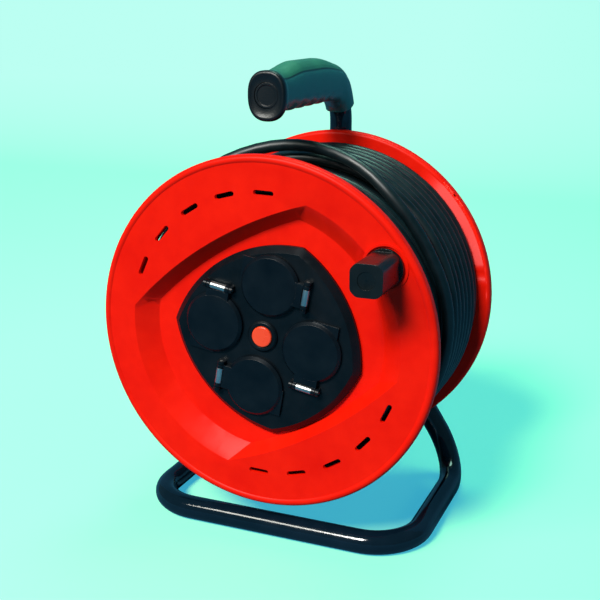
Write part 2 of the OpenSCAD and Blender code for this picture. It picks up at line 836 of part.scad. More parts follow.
// One busbar ring that joins the same pole of all four sockets
module pole_contacts(pole) {
  pitch = socket_pitch_r + pole * pin_spacing / 2;
  difference() {
    union() {
      ring(pitch - busbar_w / 2, pitch + busbar_w / 2, carrier_back, carrier_back + strip_t);
      for (k = [0 : 3])
        polar(socket_turn + 90 * k, pitch)
          disc(contact_r + contact_wall, carrier_back, carrier_back + contact_len);
    }
    for (k = [0 : 3])
      polar(socket_turn + 90 * k, pitch)
        disc(contact_r, carrier_back - eps, carrier_back + contact_len + eps);
  }
}
module line_contacts() color(BRASS) on_drum() pole_contacts(1);
module neutral_contacts() color(BRASS) on_drum() pole_contacts(-1);

// A U-shaped strip in each socket: two side clips joined behind the floor
module earth_clips() color(BRASS) on_drum() for (k = [0 : 3]) at_socket(k) {
  for (s = [-1, 1])
    translate([0, s * (clip_reach + strip_t / 2), 0])
      block(clip_w, strip_t, plate_back + 3, carrier_back);
  block(clip_w, 2 * clip_reach + 2 * strip_t, carrier_back, carrier_back + strip_t);
}

// ---------- Lids ----------

module hinge_pins() color(STEEL) on_drum()
  for (k = [0 : 3]) hinge_line(hinge_pin_r, hinge_len, k);

// Close-wound spring on each pin, between the lid's two knuckles
knuckle_wall = 3;
spring_len = knuckle_len - 2 * (knuckle_wall + loose_fit);
spring_r = knuckle_r - 0.2;
module spring_place(k) at_socket(k)
  translate([0, -hinge_off, -pivot_depth])
    rotate([0, 90, 0])
      children();
module lid_springs() color(STEEL) on_drum() for (k = [0 : 3]) spring_place(k) difference() {
  cylinder(r = spring_r, h = spring_len, center = true);
  cylinder(r = hinge_pin_r, h = spring_len + eps, center = true);
}

module lid(k) color(BLACK) on_drum() difference() {
  at_socket(k) {
    cone(lid_r - lid_bevel, lid_r, lid_face, lid_face + lid_bevel);
    disc(lid_r, lid_face + lid_bevel, lid_back);
    ring(spigot_r - spigot_t, spigot_r, lid_back - 0.5, lid_back + spigot_len);
    translate([0, -(hinge_off + lid_r - lid_bevel) / 2 + 1, 0])
      block(knuckle_len, hinge_off - lid_r + lid_bevel + 2, pivot_depth - 1, lid_back);
    translate([0, -hinge_off, -pivot_depth])
      rotate([0, 90, 0])
        cylinder(r = knuckle_r, h = knuckle_len, center = true);
    translate([tab_shift, (lid_r + tab_reach) / 2, 0])
      block(tab_w, lid_r + tab_reach, lid_face + lid_bevel, lid_back);
  }
  hinge_line(hinge_pin_r + run_fit, 2 * hinge_len, k);
  spring_place(k) cylinder(r = knuckle_r + loose_fit, h = spring_len + 2 * loose_fit, center = true);
}
module lid_1() lid(0);
module lid_2() lid(1);
module lid_3() lid(2);
module lid_4() lid(3);

// ---------- Reset button ----------

module button_bezel() color(BLACK) on_drum() difference() {
  union() {
    cone(bezel_r - 1.5, bezel_r, plate_face - 2.5, plate_face - 1);
    disc(bezel_r, plate_face - 1, plate_face);
    disc(bezel_r - 3, plate_face - 0.5, plate_face + button_head);
  }
  disc(button_r + button_gap, plate_face - 3, plate_face + button_head + eps);
}

stem_end = button_face + button_head + stem_len;
module reset_button() color(RED) on_drum() {
  cone(button_r - 0.8, button_r, button_face, button_face + 0.8);
  disc(button_r, button_face + 0.8, button_face + button_head);
  disc(stem_r, button_face + button_head - 0.5, stem_end);
}

neck_front = well_bottom - 2.5;
module thermal_cutout() color(BONE) on_drum() difference() {
  union() {
    disc(neck_r, neck_front, carrier_back + 0.5);
    disc(cutout_r, carrier_back, carrier_back + cutout_len);
    for (s = [-1, 1])
      translate([s * cutout_r / 2, 0, 0])
        block(1, 6, carrier_back + cutout_len - 0.5, carrier_back + cutout_len + 8);
  }
  disc(stem_r + run_fit, neck_front - eps, stem_end + 5);
}

// Coil spring between the cut-out's neck and the button's head, at its pressed length
spring_turns = 5;
spring_wire = 0.6;
spring_mid_r = 5;
module button_spring() color(STEEL) on_drum() {
  d0 = button_face + button_head + button_travel + 0.1;
  span = neck_front - d0 - spring_wire * 2;
  steps = spring_turns * 8;
  n = 6;
  points = [
    for (i = [0 : steps]) for (j = [0 : n - 1])
      let (a = 45 * i, b = 60 * j, r = spring_mid_r + spring_wire * cos(b))
        [r * cos(a), r * sin(a), -d0 - spring_wire - span * i / steps + spring_wire * sin(b)]
  ];
  polyhedron(points, tube_faces(steps + 1, n));
}

// Faces of a closed tube of rings: skin, then both ends
function tube_faces(rings, n) = concat(
  [for (i = [0 : rings - 2]) for (j = [0 : n - 1])
    let (a = i * n + j, b = i * n + (j + 1) % n) each [[a, b, a + n], [b, b + n, a + n]]],
  [for (j = [1 : n - 2]) [0, j + 1, j]],
  [for (j = [1 : n - 2]) [0, j, j + 1] + (rings - 1) * n * [1, 1, 1]]
);

// ---------- Cord entry ----------

block_l = 30;
block_w = 12;
gland_stub = 12;
// Bare cord between the gland's inner end and the terminal block
bare_cord = 7;
block_r = barrel_in - gland_stub - bare_cord - block_w / 2;

module terminal_block() color(BONE) on_drum() rotate(gland_turn) translate([block_r, 0, 0])
  difference() {
    union() {
      block(block_w, block_l, carrier_back + 3, carrier_back + 3 + block_w + 5);
      for (s = [-1, 1])
        translate([0, s * (block_l / 2 - 3), 0])
          block(block_w - 4, 5, carrier_back, carrier_back + 4);
    }
    for (s = [-1, 0, 1])
      translate([0, s * block_l / 3, 0])
        disc(2, carrier_back + block_w, carrier_back + block_w + 9);
  }

module cord_tail() color(BLACK) on_drum()
  gland_line(cord_r, block_r + block_w / 2, gland_out);

module cord_gland() color(BLACK) on_drum() difference() {
  union() {
    gland_line(gland_r - 1.5, barrel_in - 4, gland_out);
    gland_line(gland_r, barrel_in - gland_stub, barrel_in - 4);
  }
  gland_line(cord_r, barrel_in - gland_stub - eps, barrel_r + eps);
}

module gland_nut() color(BLACK) on_drum() difference() {
  rotate(gland_turn)
    translate([barrel_in - 4, 0, -gland_depth])
      rotate([0, 90, 0])
        cylinder(r = gland_r + 3, h = 3, $fn = 6);
  gland_line(gland_r - 1.5, barrel_in - 5, barrel_r);
}

// ---------- Crank knob ----------

module rounded_square(w, corner, d0, d1) {
  block(w, w - 2 * corner, d0, d1);
  block(w - 2 * corner, w, d0, d1);
  for (sx = [-1, 1], sy = [-1, 1])
    translate([sx * (w / 2 - corner), sy * (w / 2 - corner), 0])
      disc(corner, d0, d1);
}

knob_head_back = -knob_reach + cap_t + 1.5;

module crank_knob() color(BLACK) on_drum() at_knob() difference() {
  union() {
    intersection() {
      rounded_square(knob_w, knob_corner, -knob_reach, knob_base);
      // Bevelled face and a slight waist above the base
      cone(knob_w * 0.58, knob_w * 0.78, -knob_reach, knob_base);
    }
    disc(collar_r - 1.5, -2, knob_base);
  }
  disc(spindle_r + run_fit, -knob_reach - eps, knob_base + eps);
  disc(knob_head_r + loose_fit, -knob_reach - eps, knob_head_back + knob_head_h);
}

module knob_spindle() color(STEEL) on_drum() at_knob() {
  disc(spindle_r, knob_head_back, boss_depth - 2);
  disc(knob_head_r, knob_head_back, knob_head_back + knob_head_h - 0.2);
}

module knob_cap() color(BLACK) on_drum() at_knob() difference() {
  disc(knob_head_r + loose_fit, -knob_reach, -knob_reach + cap_t);
  translate([0, 0, knob_reach + 38]) sphere(r = 39);
}

// ---------- Wound cord ----------

// Index of the table's row at or before angle a
function row_at(table, a, i = 0) =
  i >= len(table) - 2 || a < table[i + 1][0] ? i : row_at(table, a, i + 1);
// Slope of a table at row i, from its two neighbours
function slope_at(t, i) =
  let (j = max(0, i - 1), k = min(len(t) - 1, i + 1)) (t[k][1] - t[j][1]) / (t[k][0] - t[j][0]);
// Smooth curve through a table: a cubic between two rows with their slopes
function depth_at(a) =
  let (
    t = depth_table, i = row_at(t, a), h = t[i + 1][0] - t[i][0], u = (a - t[i][0]) / h,
    m0 = slope_at(t, i) * h, m1 = slope_at(t, i + 1) * h
  )
    t[i][1] * (1 + 2 * u) * (1 - u) * (1 - u) + m0 * u * (1 - u) * (1 - u)
      + t[i + 1][1] * u * u * (3 - 2 * u) + m1 * u * u * (u - 1);
// Radius: flat at each row, with a smooth climb between
function radius_at(a) =
  let (t = radius_table, i = row_at(t, a))
    blend(t[i][1], t[i + 1][1], a, t[i][0], t[i + 1][0]);

function lay_point(a) = let (r = radius_at(a)) [r * cos(a), r * sin(a), -depth_at(a)];
function along(a) = [-sin(a), cos(a), 0];

plug_foot = [plug_pitch_r * cos(plug_turn), plug_pitch_r * sin(plug_turn), -plug_depth];
lay_line = concat(
  [lay_point(lay_start) - cord_d * along(lay_start)],
  [for (a = [lay_start : ring_step : lay_end]) lay_point(a)],
  [plug_foot]
);

// Six-sided ring about point i of a line, square to the line
function cord_ring(line, i) =
  let (
    last = len(line) - 1,
    run = line[min(last, i + 1)] - line[max(0, i - 1)],
    t = run / norm(run),
    u = [line[i].x, line[i].y, 0],
    n1 = (u - (u * t) * t) / norm(u - (u * t) * t),
    n2 = cross(t, n1)
  )
    [for (j = [0 : sides - 1]) line[i] + cord_r * (cos(360 / sides * j) * n1 + sin(360 / sides * j) * n2)];

// Distance from a point to a stretch of the line
function to_stretch(p, a, b) =
  let (v = b - a, u = min(1, max(0, ((p - a) * v) / (v * v)))) norm(p - a - u * v);
// Least gap between a turn's rings and the turns beside and below it
function least_gap(line) =
  let (per_turn = lap / ring_step, n = len(line))
    min([
      for (i = [0 : n - 1]) for (k = [1 : 22]) for (w = [-3 : 2])
        let (j = i + k * per_turn + w)
          if (j < n - 1) to_stretch(line[i], line[j], line[j + 1])
    ]) - cord_d;

module cord_winding() color(BLACK) {
  echo(least_gap_of_winding = least_gap(lay_line));
  on_drum()
    polyhedron(
      [for (i = [0 : len(lay_line) - 1]) each cord_ring(lay_line, i)],
      tube_faces(len(lay_line), sides)
    );
}

// Plain core of the lower layers, and the turn that rises out of it
module cord_core() color(BLACK) on_drum() {
  ring(barrel_r, core_r, core_front, flange_gap);
  start = lay_line[0];
  outward = [cos(lay_start), sin(lay_start), 0];
  difference() {
    translate(start - feed_bend * outward)
      rotate(lay_start - feed_turn)
        rotate_extrude(angle = feed_turn)
          translate([feed_bend, 0])
            circle(cord_r);
    disc(barrel_r + 2, 0, flange_gap);
  }
}

// ---------- Plug ----------

// Frame at the cord's end: X outward, Y along the plug, Z to the socket face
module at_plug() rotate(plug_turn) translate([plug_pitch_r, 0, -plug_depth]) children();
module along_plug(r0, r1, y0, y1) translate([0, y0, 0]) rotate([-90, 0, 0])
  cylinder(r1 = r0, r2 = r1, h = y1 - y0);

plug_r = plug_d / 2;
plug_shoulder = relief_len + plug_len * 0.45;
plug_face = relief_len + plug_len;
pin_sink = 8;
pin_root_r = pin_d / 2 - 0.6;
strip_w = 5;
relief_ribs = 4;

module plug_relief() color(BLACK) on_drum() at_plug() difference() {
  along_plug(cord_r + 0.8, cord_r + 3.2, 0, relief_len);
  for (i = [1 : relief_ribs])
    translate([0, relief_len * i / (relief_ribs + 1), 0])
      rotate([-90, 0, 0])
        difference() {
          cylinder(r = cord_r + 6, h = 2);
          translate([0, 0, -eps]) cylinder(r = cord_r + 0.4, h = 2 + 2 * eps);
        }
}

module at_plug_pins() for (s = [-1, 1]) translate([0, 0, s * pin_spacing / 2]) children();

module plug_body() color(BLACK) on_drum() at_plug() difference() {
  union() {
    along_plug(cord_r + 4.5, plug_r, relief_len, plug_shoulder);
    along_plug(plug_r, plug_r, plug_shoulder, plug_face);
  }
  at_plug_pins() along_plug(pin_root_r, pin_root_r, plug_face - pin_sink, plug_face + eps);
  for (s = [-1, 1])
    translate([s * (plug_r - 0.5) - 1.5, plug_shoulder + 4, -strip_w / 2])
      cube([3, plug_face, strip_w]);
}

module plug_pins() color(STEEL) on_drum() at_plug() at_plug_pins() {
  along_plug(pin_root_r, pin_root_r, plug_face - pin_sink, plug_face);
  along_plug(pin_d / 2, pin_d / 2, plug_face, plug_face + pin_len - 1);
  along_plug(pin_d / 2, pin_d / 2 - 0.8, plug_face + pin_len - 1, plug_face + pin_len);
}

module plug_earth_strips() color(BRASS) on_drum() at_plug() for (s = [-1, 1])
  translate([s * (plug_r - 1.4) - 0.6, plug_shoulder + 4, -strip_w / 2])
    cube([1.2, plug_face - plug_shoulder - 4, strip_w]);

// ---------- Nodes ----------

base_tube();
handle_tube();
frame_hub();
hub_cover();
hub_screws();
handle_grip();
grip_plug();
axle();
axle_nut();
thrust_washer();
axle_washer();
axle_clip();
front_flange();
rear_flange();
drum_barrel();
tie_bolts();
bearing_bushes();
socket_plate();
plate_screws();
socket_carrier();
carrier_screws();
line_contacts();
neutral_contacts();
earth_clips();
hinge_pins();
lid_springs();
lid_1();
lid_2();
lid_3();
lid_4();
button_bezel();
reset_button();
button_spring();
thermal_cutout();
terminal_block();
cord_gland();
gland_nut();
cord_tail();
knob_spindle();
crank_knob();
knob_cap();
cord_core();
cord_winding();
plug_relief();
plug_body();
plug_pins();
plug_earth_strips();
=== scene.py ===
import json
from math import asin, cos, pi, radians, sin, tan

import bmesh
import bpy
import numpy as np
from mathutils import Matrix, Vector

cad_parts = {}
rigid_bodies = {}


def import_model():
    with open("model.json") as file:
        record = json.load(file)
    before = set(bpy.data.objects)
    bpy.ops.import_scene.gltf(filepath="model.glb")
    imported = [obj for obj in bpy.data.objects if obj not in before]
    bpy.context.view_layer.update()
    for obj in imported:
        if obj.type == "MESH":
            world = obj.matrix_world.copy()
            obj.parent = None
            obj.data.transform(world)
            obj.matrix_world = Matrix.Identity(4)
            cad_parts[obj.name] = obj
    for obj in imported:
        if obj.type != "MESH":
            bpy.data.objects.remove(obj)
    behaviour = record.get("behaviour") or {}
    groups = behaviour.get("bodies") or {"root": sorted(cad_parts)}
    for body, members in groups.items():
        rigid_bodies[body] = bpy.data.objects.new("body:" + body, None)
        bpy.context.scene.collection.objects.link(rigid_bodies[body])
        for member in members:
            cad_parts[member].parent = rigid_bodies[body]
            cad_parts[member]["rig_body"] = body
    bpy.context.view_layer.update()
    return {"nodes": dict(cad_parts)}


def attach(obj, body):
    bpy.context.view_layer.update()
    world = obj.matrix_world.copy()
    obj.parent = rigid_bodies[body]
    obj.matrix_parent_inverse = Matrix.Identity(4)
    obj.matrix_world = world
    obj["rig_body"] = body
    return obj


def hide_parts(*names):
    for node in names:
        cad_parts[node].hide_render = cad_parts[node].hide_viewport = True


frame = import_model()

# ---------- Camera ----------
# A small studio camera a little under a metre from the drum, to its right and above it.
# Its frame takes in the whole reel, from the base loop to the grip.

lens_at = Vector((0.3324, -0.7942, 0.4372))
lens_heading = Vector((-0.3711, 0.8873, -0.2740))
camera = bpy.data.objects.new("camera", bpy.data.cameras.new("camera"))
camera.data.lens, camera.data.sensor_width = 62.5, 36
camera.location = lens_at
camera.rotation_mode = "QUATERNION"
camera.rotation_quaternion = lens_heading.to_track_quat("-Z", "Y")
bpy.context.scene.collection.objects.link(camera)
bpy.context.scene.camera = camera
bpy.context.scene.view_settings.view_transform = "Standard"

# ---------- Wound cord ----------
# Ten-millimetre rubber cord, wound on the drum by hand. Its two outer layers are one unbroken
# length: it rises out of the lower layers, runs back and forth, crosses over and ends in the plug.

AXLE = Vector((0, 0, 0.182))   # height of the drum's axis
RIM = -0.08105                 # where the front rim's plane lies along Y
CORD = 0.010                   # diameter of the cord

LAY_FIRST, LAY_LAST, OVER_TOP = 216.0, 7746.0, 7560.0
LAYER = (0.1196, 0.1304)       # radii of the two outer layers
FEED_BEND = 0.045              # radius of the bend where the cord comes up from below
PLUG_DEPTH, PLUG_ANGLE, PLUG_RADIUS = 0.048, 190.0, 0.136

# Depth behind the rim plane, and radius, of the cord at angles round the drum
lay_depths = np.array([
    [LAY_FIRST, 22], [LAY_FIRST + 360, 33], [4176, 142.5], [4536, 153.2], [4896, 164.7],
    [5076, 165.2], [5436, 153], [5796, 142], [6156, 129.5], [6516, 118.5], [6876, 107],
    [7236, 96.5], [OVER_TOP - 10, 86], [OVER_TOP + 11, 82], [OVER_TOP + 32, 74],
    [OVER_TOP + 51, 68], [OVER_TOP + 62, 72], [OVER_TOP + 78, 79], [OVER_TOP + 92, 86],
    [OVER_TOP + 104, 84], [OVER_TOP + 120, 68], [OVER_TOP + 142, 52], [OVER_TOP + 165, 48],
    [LAY_LAST, 48], [LAY_LAST + 5, 48]]) * (1, 0.001)
lay_radii = np.array([
    [LAY_FIRST, LAYER[0]], [4896, LAYER[0]], [5076, LAYER[1]], [OVER_TOP + 22, LAYER[1]],
    [OVER_TOP + 78, LAYER[1] + 0.0114], [OVER_TOP + 112, LAYER[1] + 0.0124],
    [OVER_TOP + 150, LAYER[1] + 0.008], [OVER_TOP + 180, PLUG_RADIUS + 0.0003],
    [LAY_LAST + 5, PLUG_RADIUS]])


def on_drum(angle, radius, depth):
    """Points at angles in degrees round the axle, at a radius and a depth behind the rim plane:
    x = r cos a, y = rim + depth, z = axle + r sin a."""
    a = np.radians(angle)
    x, y, z = np.broadcast_arrays(radius * np.cos(a), RIM + depth, AXLE.z + radius * np.sin(a))
    return np.stack([x, y, z], -1)


def lay_curve(angle, table, flat):
    """A smooth curve through a table of angles and values. Between two rows it is the cubic with
    their values and slopes at u = 0 and 1; the slopes come from each row's neighbours, or are
    nought where flat is set, which gives v0 + (v1 - v0) u u (3 - 2 u)."""
    at, value = table.T
    inner = (value[2:] - value[:-2]) / (at[2:] - at[:-2])
    ends = np.diff(value)[[0, -1]] / np.diff(at)[[0, -1]]
    slope = 0 * at if flat else np.concatenate([ends[:1], inner, ends[1:]])
    i = np.clip(np.searchsorted(at, angle, side="right") - 1, 0, len(at) - 2)
    h = at[i + 1] - at[i]
    u = np.clip((angle - at[i]) / h, 0, 1)
    rise = u * u * (3 - 2 * u)
    return (value[i] * (1 - rise) + value[i + 1] * rise
            + h * slope[i] * u * (1 - u) ** 2 + h * slope[i + 1] * u * u * (u - 1))


def tube(path, radius, sides, away):
    """Rings of a round tube on a path: the ring's two axes at each point are the part of the
    vector `away` that is square to the path, and their cross product. `radius` may vary."""
    run = np.gradient(path, axis=0)
    run /= np.linalg.norm(run, axis=1, keepdims=True)
    one = away - (away * run).sum(1, keepdims=True) * run
    one /= np.linalg.norm(one, axis=1, keepdims=True)
    two = np.cross(run, one)
    turn = np.arange(sides) * 2 * pi / sides
    ring = np.cos(turn)[:, None] * one[:, None] + np.sin(turn)[:, None] * two[:, None]
    return path[:, None] + np.broadcast_to(radius, len(path))[:, None, None] * ring


def skin(name, grid, body, sharp=40, looped=False):
    """A mesh of a grid of rings: each ring closes on itself, and neighbours are joined by
    four-sided faces. The two ends are closed, or joined to each other where it is looped. Its UV
    map runs along the rings and round them, and only edges over `sharp` degrees stay sharp."""
    rows, cols = grid.shape[:2]
    i, j = np.meshgrid(np.arange(rows - (not looped)), np.arange(cols), indexing="ij")
    n, k = (i + 1) % rows, (j + 1) % cols
    quads = np.stack([i * cols + j, i * cols + k, n * cols + k, n * cols + j], -1)
    faces = quads.reshape(-1, 4).tolist()
    along = np.stack([i, i, i + 1, i + 1], -1) / (rows - 1)
    round_ = np.stack([j, j + 1, j + 1, j], -1) / cols
    uv = np.stack([along, round_], -1).reshape(-1, 2)
    if not looped:
        faces += [list(range(cols))[::-1], list(range((rows - 1) * cols, rows * cols))]
        uv = np.concatenate([uv, np.zeros((2 * cols, 2))])
    mesh = bpy.data.meshes.new(name)
    mesh.from_pydata(grid.reshape(-1, 3), [], faces)
    mesh.uv_layers.new(name="UVMap").data.foreach_set("uv", uv.astype(np.float32).ravel())
    shape = bmesh.new()
    shape.from_mesh(mesh)
    bmesh.ops.recalc_face_normals(shape, faces=shape.faces)
    shape.to_mesh(mesh)
    shape.free()
    mesh.shade_smooth()
    mesh.set_sharp_from_angle(angle=radians(sharp))
    piece = bpy.data.objects.new(name, mesh)
    bpy.context.scene.collection.objects.link(piece)
    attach(piece, body)
    return piece


class Shade:
    """A value that varies over a surface: one output socket of a material. Arithmetic on it
    adds the Math nodes that do the same sum, also with the number first, as in 1 - mask."""

    def __init__(self, socket):
        self.socket = socket

    def make(self, kind, settings=None, inputs=None, out=0):
        """Any other node: its type, its settings or ramp stops, then its sockets' values or links."""
        node = self.socket.id_data.nodes.new(kind)
        for key, value in (settings or {}).items():
            if key == "stops":
                for stop, (at, grey) in zip(node.color_ramp.elements, value):
                    stop.position, stop.color = at, (grey, grey, grey, 1)
            else:
                setattr(node, key, value)
        for key, value in (inputs or {}).items():
            if isinstance(value, Shade):
                node.id_data.links.new(value.socket, node.inputs[key])
            else:
                node.inputs[key].default_value = value
        return Shade(node.outputs[out])

    def sum_with(self, operation, *terms):
        return self.make("ShaderNodeMath", {"operation": operation}, dict(enumerate(terms)))

    def __add__(self, other):
        return self.sum_with("ADD", self, other)

    def __radd__(self, other):
        return self.sum_with("ADD", other, self)

    def __sub__(self, other):
        return self.sum_with("SUBTRACT", self, other)

    def __rsub__(self, other):
        return self.sum_with("SUBTRACT", other, self)

    def __mul__(self, other):
        return self.sum_with("MULTIPLY", self, other)

    def __rmul__(self, other):
        return self.sum_with("MULTIPLY", other, self)

    def within(self, low, high):
        """0 at low, 1 at high, and held outside them."""
        return self.make("ShaderNodeMapRange", {"clamp": True},
                         {"Value": self, "From Min": low, "From Max": high})

    def noise(self, size, detail=2.0, stretch=(1, 1, 1)):
        """Cloudy noise on this position, with features about `size` metres across."""
        where = self.make("ShaderNodeMapping", {}, {"Vector": self, "Scale": stretch})
        return self.make("ShaderNodeTexNoise", {}, {"Vector": where, "Scale": 1 / size,
                                                    "Detail": detail, "Roughness": 0.55})

    def between(self, low, high):
        """A colour from low to high as this value goes from 0 to 1."""
        return self.make("ShaderNodeMix", {"data_type": "RGBA"},
                         {0: self, 6: (*low, 1), 7: (*high, 1)}, out=2)


def new_material(name, **fixed):
    """A material's shader with its fixed numbers set, and the position on the surface."""
    material = bpy.data.materials.new(name)
    material.use_nodes = True
    shader = material.node_tree.nodes["Principled BSDF"]
    for key, value in fixed.items():
        shader.inputs[key.replace("_", " ")].default_value = value
    position = Shade(material.node_tree.nodes.new("ShaderNodeTexCoord").outputs["Object"])
    return material, shader, position


def wear(shader, colour=None, roughness=None, height=None, depth=0.0001):
    """Joins what varies to the shader: colour, roughness, and a height of `depth` metres."""
    links = shader.id_data.links
    if colour:
        links.new(colour.socket, shader.inputs["Base Color"])
    if roughness:
        links.new(roughness.socket, shader.inputs["Roughness"])
    if height:
        bump = height.make("ShaderNodeBump", {}, {"Strength": 1.0, "Distance": depth,
                                                  "Height": height})
        links.new(bump.socket, shader.inputs["Normal"])


def make_cord_rubber():
    """Black rubber with a soft shine: drawn lines along it, a faint grey bloom and dull patches."""
    material, shader, at = new_material("cord_rubber", IOR=1.5)
    uv = Shade(material.node_tree.nodes.new("ShaderNodeTexCoord").outputs["UV"])
    drawn = uv.noise(0.02, 3, stretch=(40, 1.2, 1))
    bloom = at.noise(0.018, 4)
    grain = at.noise(0.0007, 2)
    wear(shader,
         colour=(bloom.within(0.35, 0.75) * 0.8).between((0.001, 0.006, 0.008),
                                                         (0.004, 0.014, 0.017)),
         roughness=0.30 + 0.14 * bloom.within(0.3, 0.7) + 0.05 * drawn,
         height=0.5 * grain + 0.5 * drawn, depth=0.00006)
    return material


cord_rubber = make_cord_rubber()
lay_angles = np.linspace(LAY_FIRST, LAY_LAST, 1507)
laid = on_drum(lay_angles, lay_curve(lay_angles, lay_radii, True),
               lay_curve(lay_angles, lay_depths, False))
# The first end bends up out of the lower layers on an arc, then runs one cord's width straight
outward = np.array([cos(radians(LAY_FIRST)), 0, sin(radians(LAY_FIRST))])
forward = np.array([-sin(radians(LAY_FIRST)), 0, cos(radians(LAY_FIRST))])
lead = laid[0] - CORD * forward
arc = np.radians(np.linspace(-75, 0, 16))[:, None]
feed = lead + FEED_BEND * ((np.cos(arc) - 1) * outward + np.sin(arc) * forward)
plug_foot = on_drum(PLUG_ANGLE, PLUG_RADIUS, PLUG_DEPTH)
cord_path = np.concatenate([feed, laid, plug_foot[None]])
cord_away = (cord_path - AXLE) * (1, 0, 1)
cord_piece = skin("wound_cord", tube(cord_path, CORD / 2, 14, cord_away), "drum")
cord_piece.data.materials.append(cord_rubber)
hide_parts("cord_winding")

# ---------- Lower layers ----------
# The rest of the cord, wound tight on the barrel in two layers under the ones that show.
# Seen only in the gaps between the turns above it.

CORE_ENDS = (0.0172, 0.1708)   # depths behind the rim plane where the layers begin and end
CORE_SIDES = 96                # points round the axle in each ring
CORE_LAY = 0.1092              # radius from the axle to the middle of the upper layer's cord
BARREL_SKIN = 0.0922           # radius just outside the barrel's surface


def wound_layers():
    """Rings round the axle on a profile: the barrel's surface at one end, over the backs of the
    turns, and back. A turn's back is r + 5 mm times the square root of 1 - w w, where w goes
    from -1 to 1 across the turn, and the turns climb by one cord for each turn round."""
    depth = np.linspace(*CORE_ENDS, 152)
    angle = np.arange(CORE_SIDES) * 360 / CORE_SIDES
    across = 2 * (((depth[:, None] - depth[0]) / CORD - angle / 360) % 1) - 1
    back = CORE_LAY + CORD / 2 * np.sqrt(np.clip(1 - across**2, 0.02, 1))
    depth = np.concatenate([depth[:1], depth, depth[-1:]])
    barrel = np.full((1, CORE_SIDES), BARREL_SKIN)
    radius = np.concatenate([barrel, back, barrel])
    return on_drum(angle, radius, depth[:, None])


lower_layers = skin("cord_lower_layers", wound_layers(), "drum", looped=True)
lower_layers.data.materials.append(cord_rubber)
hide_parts("cord_core")

# ---------- Plug ----------
# Moulded rubber mains plug on the cord's free end, tucked in beside the front flange, with a
# ribbed strain relief, two nickel-plated pins and an earth strip on each side.


def moulded(node, edge, material, turn=28, join=0.35):
    """A finished copy of a CAD solid: its doubles merged, its flat faces joined, every edge that
    turns by more than `turn` degrees rounded to a radius of `edge`, and smooth between edges."""
    source = frame["nodes"][node]
    shape = bmesh.new()
    shape.from_mesh(source.data)
    bmesh.ops.remove_doubles(shape, verts=shape.verts, dist=2e-6)
    bmesh.ops.dissolve_limit(shape, angle_limit=radians(join), verts=shape.verts,
                             edges=shape.edges, use_dissolve_boundaries=False)
    mesh = bpy.data.meshes.new(node + "_finish")
    shape.to_mesh(mesh)
    shape.free()
    mesh.shade_smooth()
    mesh.set_sharp_from_angle(angle=radians(turn))
    piece = bpy.data.objects.new(node + "_finish", mesh)
    bpy.context.scene.collection.objects.link(piece)
    if edge:
        bevel = piece.modifiers.new("edge", "BEVEL")
        bevel.width, bevel.segments, bevel.limit_method = edge, 2, "ANGLE"
        bevel.angle_limit, bevel.harden_normals = radians(turn), True
        bevel.miter_outer = "MITER_ARC"
    mesh.materials.append(material)
    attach(piece, source["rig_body"])
    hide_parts(node)
    return piece


def make_plain(name, dark, light, rough, grain_size, grain_depth, **fixed):
    """Moulded plastic or plated metal: two close tones in soft clouds, a roughness that drifts
    about its middle, and a fine even grain from the mould or the plating."""
    material, shader, at = new_material(name, **fixed)
    cloud = at.noise(0.02, 3)
    grain = at.noise(grain_size, 2)
    wear(shader, colour=cloud.within(0.3, 0.7).between(dark, light),
         roughness=rough - 0.05 + 0.1 * cloud.within(0.3, 0.7), height=grain, depth=grain_depth)
    return material


plug_rubber = make_plain("plug_rubber", (0.010, 0.012, 0.012), (0.018, 0.02, 0.02),
                         0.5, 0.0008, 0.00006)
pin_nickel = make_plain("pin_nickel", (0.62, 0.60, 0.55), (0.72, 0.70, 0.66),
                        0.25, 0.0005, 0.00001, Metallic=1.0)
plug_parts = [moulded("plug_relief", 0.0004, plug_rubber),
              moulded("plug_body", 0.0012, plug_rubber),
              moulded("plug_pins", 0.0003, pin_nickel),
              moulded("plug_earth_strips", 0.0002, pin_nickel)]

# ---------- Base tube ----------
# One steel tube, 20 mm across, bent into a loop that lies on the floor and two legs that rise
# to the hub behind the drum, in gloss black enamel. It is closed here and has no bore.

TUBE = 0.010                   # radius of the frame tube
LEG_DEPTH = 0.191              # from the rim's plane back to the legs' plane
LEG_PLANE = RIM + LEG_DEPTH    # where the legs' plane lies along Y
FRONT_DEPTH = 0.019            # from the rim's plane back to the front bar
LEG_LEAN_SINE = 0.5376         # sine of the legs' lean from upright
LEG_START = 0.038              # from the point where the legs' lines cross to their upper ends
FOOT_BEND, FRONT_BEND = 0.045, 0.042


def bent_path(start, heading, steps, pieces=10):
    """Points on a tube's centreline: straight lengths, and quarter bends of a radius towards a
    direction. A bend's point at angle t is start + r sin t along it and r (1 - cos t) across."""
    at, along = np.array(start, float), np.array(heading, float)
    found = [at[None]]
    for length, radius, towards in steps:
        at = at + length * along
        found.append(at[None])
        if radius:
            t = np.radians(np.linspace(0, 90, pieces + 1))[1:, None]
            side = np.array(towards, float)
            found.append(at + radius * (np.sin(t) * along + (1 - np.cos(t)) * side))
            at, along = found[-1][-1], side
    return np.concatenate(found)


def make_black_enamel():
    """Gloss black enamel with a faint orange peel and a few duller rubbed patches."""
    material, shader, at = new_material("black_enamel", IOR=1.52)
    peel = at.noise(0.004, 2)
    rubbed = at.noise(0.03, 4)
    wear(shader,
         colour=rubbed.within(0.4, 0.8).between((0.002, 0.008, 0.016), (0.005, 0.013, 0.025)),
         roughness=0.09 + 0.10 * rubbed.within(0.5, 0.75), height=peel, depth=0.00007)
    return material


